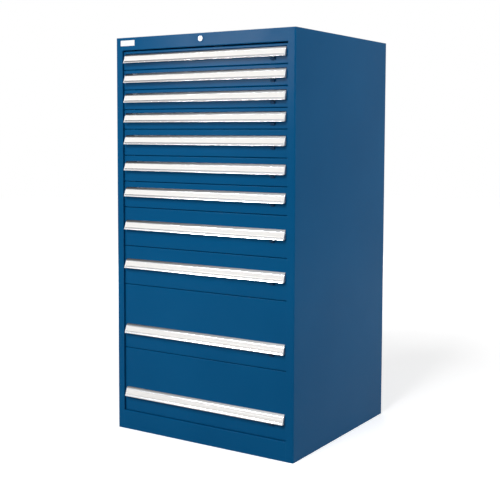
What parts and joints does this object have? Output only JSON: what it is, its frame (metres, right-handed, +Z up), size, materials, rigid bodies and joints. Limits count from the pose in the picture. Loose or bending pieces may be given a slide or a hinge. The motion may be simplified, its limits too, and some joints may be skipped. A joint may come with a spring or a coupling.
{
  "type": "drawer cabinet",
  "caption": "Tall heavy-duty steel cabinet of full-width drawers with hooded aluminium grips, thumb latches, telescopic slides and a central lock.",
  "frame": {"origin": "on the floor, under the middle of the overall footprint with the grips", "axes": "+X to the right of someone who faces the drawers, +Y to the back of the cabinet, +Z up"},
  "size_m": [0.79, 0.754, 1.52],
  "materials": {
    "blue_paint": "satin powder coat",
    "grip_aluminium": "satin anodised",
    "galvanised_steel": "zinc plated",
    "chrome": "polished",
    "latch_plastic": "fine texture",
    "badge_white": "gloss"
  },
  "bodies": {
    "housing": {"side_panel_left": "blue_paint", "side_panel_right": "blue_paint", "top_panel": "blue_paint", "back_panel": "blue_paint", "header_rail": "blue_paint", "base_rail": "blue_paint", "bottom_panel": "blue_paint", "corner_posts": "galvanised_steel", "cabinet_rails_left": "galvanised_steel", "cabinet_rails_right": "galvanised_steel", "badge_plate": "badge_white", "lock_barrel": "chrome"},
    "lock_plug": {"lock_plug": "chrome"},
    "lock_crossbar": {"lock_crossbar": "galvanised_steel"},
    "lock_bar": {"lock_bar": "galvanised_steel"},
    "drawer_01": {"drawer_01_box": "blue_paint", "drawer_01_handle": "grip_aluminium"},
    "drawer_01_slides": {"drawer_01_slides": "galvanised_steel"},
    "drawer_01_latch": {"drawer_01_latch": "latch_plastic"},
    "drawer_02": {"drawer_02_box": "blue_paint", "drawer_02_handle": "grip_aluminium"},
    "drawer_02_slides": {"drawer_02_slides": "galvanised_steel"},
    "drawer_02_latch": {"drawer_02_latch": "latch_plastic"},
    "drawer_03": {"drawer_03_box": "blue_paint", "drawer_03_handle": "grip_aluminium"},
    "drawer_03_slides": {"drawer_03_slides": "galvanised_steel"},
    "drawer_03_latch": {"drawer_03_latch": "latch_plastic"},
    "drawer_04": {"drawer_04_box": "blue_paint", "drawer_04_handle": "grip_aluminium"},
    "drawer_04_slides": {"drawer_04_slides": "galvanised_steel"},
    "drawer_04_latch": {"drawer_04_latch": "latch_plastic"},
    "drawer_05": {"drawer_05_box": "blue_paint", "drawer_05_handle": "grip_aluminium"},
    "drawer_05_slides": {"drawer_05_slides": "galvanised_steel"},
    "drawer_05_latch": {"drawer_05_latch": "latch_plastic"},
    "drawer_06": {"drawer_06_box": "blue_paint", "drawer_06_handle": "grip_aluminium"},
    "drawer_06_slides": {"drawer_06_slides": "galvanised_steel"},
    "drawer_06_latch": {"drawer_06_latch": "latch_plastic"},
    "drawer_07": {"drawer_07_box": "blue_paint", "drawer_07_handle": "grip_aluminium"},
    "drawer_07_slides": {"drawer_07_slides": "galvanised_steel"},
    "drawer_07_latch": {"drawer_07_latch": "latch_plastic"},
    "drawer_08": {"drawer_08_box": "blue_paint", "drawer_08_handle": "grip_aluminium"},
    "drawer_08_slides": {"drawer_08_slides": "galvanised_steel"},
    "drawer_08_latch": {"drawer_08_latch": "latch_plastic"},
    "drawer_09": {"drawer_09_box": "blue_paint", "drawer_09_handle": "grip_aluminium"},
    "drawer_09_slides": {"drawer_09_slides": "galvanised_steel"},
    "drawer_09_latch": {"drawer_09_latch": "latch_plastic"},
    "drawer_10": {"drawer_10_box": "blue_paint", "drawer_10_handle": "grip_aluminium"},
    "drawer_10_slides": {"drawer_10_slides": "galvanised_steel"},
    "drawer_10_latch": {"drawer_10_latch": "latch_plastic"},
    "drawer_11": {"drawer_11_box": "blue_paint", "drawer_11_handle": "grip_aluminium"},
    "drawer_11_slides": {"drawer_11_slides": "galvanised_steel"},
    "drawer_11_latch": {"drawer_11_latch": "latch_plastic"}
  },
  "joints": [
    {"name": "lock_bar_slide", "type": "slide", "parent": "housing", "child": "lock_bar", "axis": [0, 0, -1], "range_m": [0, 0.01273]},
    {"name": "lock_crossbar_slide", "type": "slide", "parent": "housing", "child": "lock_crossbar", "axis": [1, 0, 0], "range_m": [0, 0.01275]},
    {"name": "lock_turn", "type": "hinge", "parent": "housing", "child": "lock_plug", "pos_m": [0, -0.368, 1.5], "axis": [0, -1, 0], "range_deg": [0, 90]},
    {"name": "drawer_01_slide", "type": "slide", "parent": "housing", "child": "drawer_01", "axis": [0, -1, 0], "range_m": [0, 0.65]},
    {"name": "drawer_01_carriage_slide", "type": "slide", "parent": "housing", "child": "drawer_01_slides", "axis": [0, -1, 0], "range_m": [0, 0.325]},
    {"name": "drawer_01_latch_slide", "type": "slide", "parent": "drawer_01", "child": "drawer_01_latch", "axis": [-1, 0, 0], "range_m": [0, 0.008], "stiffness_N_per_m": 200, "springref_m": -0.002},
    {"name": "drawer_02_slide", "type": "slide", "parent": "housing", "child": "drawer_02", "axis": [0, -1, 0], "range_m": [0, 0.65]},
    {"name": "drawer_02_carriage_slide", "type": "slide", "parent": "housing", "child": "drawer_02_slides", "axis": [0, -1, 0], "range_m": [0, 0.325]},
    {"name": "drawer_02_latch_slide", "type": "slide", "parent": "drawer_02", "child": "drawer_02_latch", "axis": [-1, 0, 0], "range_m": [0, 0.008], "stiffness_N_per_m": 200, "springref_m": -0.002},
    {"name": "drawer_03_slide", "type": "slide", "parent": "housing", "child": "drawer_03", "axis": [0, -1, 0], "range_m": [0, 0.65]},
    {"name": "drawer_03_carriage_slide", "type": "slide", "parent": "housing", "child": "drawer_03_slides", "axis": [0, -1, 0], "range_m": [0, 0.325]},
    {"name": "drawer_03_latch_slide", "type": "slide", "parent": "drawer_03", "child": "drawer_03_latch", "axis": [-1, 0, 0], "range_m": [0, 0.008], "stiffness_N_per_m": 200, "springref_m": -0.002},
    {"name": "drawer_04_slide", "type": "slide", "parent": "housing", "child": "drawer_04", "axis": [0, -1, 0], "range_m": [0, 0.65]},
    {"name": "drawer_04_carriage_slide", "type": "slide", "parent": "housing", "child": "drawer_04_slides", "axis": [0, -1, 0], "range_m": [0, 0.325]},
    {"name": "drawer_04_latch_slide", "type": "slide", "parent": "drawer_04", "child": "drawer_04_latch", "axis": [-1, 0, 0], "range_m": [0, 0.008], "stiffness_N_per_m": 200, "springref_m": -0.002},
    {"name": "drawer_05_slide", "type": "slide", "parent": "housing", "child": "drawer_05", "axis": [0, -1, 0], "range_m": [0, 0.65]},
    {"name": "drawer_05_carriage_slide", "type": "slide", "parent": "housing", "child": "drawer_05_slides", "axis": [0, -1, 0], "range_m": [0, 0.325]},
    {"name": "drawer_05_latch_slide", "type": "slide", "parent": "drawer_05", "child": "drawer_05_latch", "axis": [-1, 0, 0], "range_m": [0, 0.008], "stiffness_N_per_m": 200, "springref_m": -0.002},
    {"name": "drawer_06_slide", "type": "slide", "parent": "housing", "child": "drawer_06", "axis": [0, -1, 0], "range_m": [0, 0.65]},
    {"name": "drawer_06_carriage_slide", "type": "slide", "parent": "housing", "child": "drawer_06_slides", "axis": [0, -1, 0], "range_m": [0, 0.325]},
    {"name": "drawer_06_latch_slide", "type": "slide", "parent": "drawer_06", "child": "drawer_06_latch", "axis": [-1, 0, 0], "range_m": [0, 0.008], "stiffness_N_per_m": 200, "springref_m": -0.002},
    {"name": "drawer_07_slide", "type": "slide", "parent": "housing", "child": "drawer_07", "axis": [0, -1, 0], "range_m": [0, 0.65]},
    {"name": "drawer_07_carriage_slide", "type": "slide", "parent": "housing", "child": "drawer_07_slides", "axis": [0, -1, 0], "range_m": [0, 0.325]},
    {"name": "drawer_07_latch_slide", "type": "slide", "parent": "drawer_07", "child": "drawer_07_latch", "axis": [-1, 0, 0], "range_m": [0, 0.008], "stiffness_N_per_m": 200, "springref_m": -0.002},
    {"name": "drawer_08_slide", "type": "slide", "parent": "housing", "child": "drawer_08", "axis": [0, -1, 0], "range_m": [0, 0.65]},
    {"name": "drawer_08_carriage_slide", "type": "slide", "parent": "housing", "child": "drawer_08_slides", "axis": [0, -1, 0], "range_m": [0, 0.325]},
    {"name": "drawer_08_latch_slide", "type": "slide", "parent": "drawer_08", "child": "drawer_08_latch", "axis": [-1, 0, 0], "range_m": [0, 0.008], "stiffness_N_per_m": 200, "springref_m": -0.002},
    {"name": "drawer_09_slide", "type": "slide", "parent": "housing", "child": "drawer_09", "axis": [0, -1, 0], "range_m": [0, 0.65]},
    {"name": "drawer_09_carriage_slide", "type": "slide", "parent": "housing", "child": "drawer_09_slides", "axis": [0, -1, 0], "range_m": [0, 0.325]},
    {"name": "drawer_09_latch_slide", "type": "slide", "parent": "drawer_09", "child": "drawer_09_latch", "axis": [-1, 0, 0], "range_m": [0, 0.008], "stiffness_N_per_m": 200, "springref_m": -0.002},
    {"name": "drawer_10_slide", "type": "slide", "parent": "housing", "child": "drawer_10", "axis": [0, -1, 0], "range_m": [0, 0.65]},
    {"name": "drawer_10_carriage_slide", "type": "slide", "parent": "housing", "child": "drawer_10_slides", "axis": [0, -1, 0], "range_m": [0, 0.325]},
    {"name": "drawer_10_latch_slide", "type": "slide", "parent": "drawer_10", "child": "drawer_10_latch", "axis": [-1, 0, 0], "range_m": [0, 0.008], "stiffness_N_per_m": 200, "springref_m": -0.002},
    {"name": "drawer_11_slide", "type": "slide", "parent": "housing", "child": "drawer_11", "axis": [0, -1, 0], "range_m": [0, 0.65]},
    {"name": "drawer_11_carriage_slide", "type": "slide", "parent": "housing", "child": "drawer_11_slides", "axis": [0, -1, 0], "range_m": [0, 0.325]},
    {"name": "drawer_11_latch_slide", "type": "slide", "parent": "drawer_11", "child": "drawer_11_latch", "axis": [-1, 0, 0], "range_m": [0, 0.008], "stiffness_N_per_m": 200, "springref_m": -0.002}
  ],
  "couplings": [
    {"joint": "lock_crossbar_slide", "follows": "lock_bar_slide", "ratio": 1},
    {"joint": "lock_turn", "follows": "lock_bar_slide", "rad_per_m": 123.41},
    {"joint": "drawer_01_carriage_slide", "follows": "drawer_01_slide", "ratio": 0.5},
    {"joint": "drawer_02_carriage_slide", "follows": "drawer_02_slide", "ratio": 0.5},
    {"joint": "drawer_03_carriage_slide", "follows": "drawer_03_slide", "ratio": 0.5},
    {"joint": "drawer_04_carriage_slide", "follows": "drawer_04_slide", "ratio": 0.5},
    {"joint": "drawer_05_carriage_slide", "follows": "drawer_05_slide", "ratio": 0.5},
    {"joint": "drawer_06_carriage_slide", "follows": "drawer_06_slide", "ratio": 0.5},
    {"joint": "drawer_07_carriage_slide", "follows": "drawer_07_slide", "ratio": 0.5},
    {"joint": "drawer_08_carriage_slide", "follows": "drawer_08_slide", "ratio": 0.5},
    {"joint": "drawer_09_carriage_slide", "follows": "drawer_09_slide", "ratio": 0.5},
    {"joint": "drawer_10_carriage_slide", "follows": "drawer_10_slide", "ratio": 0.5},
    {"joint": "drawer_11_carriage_slide", "follows": "drawer_11_slide", "ratio": 0.5}
  ]
}
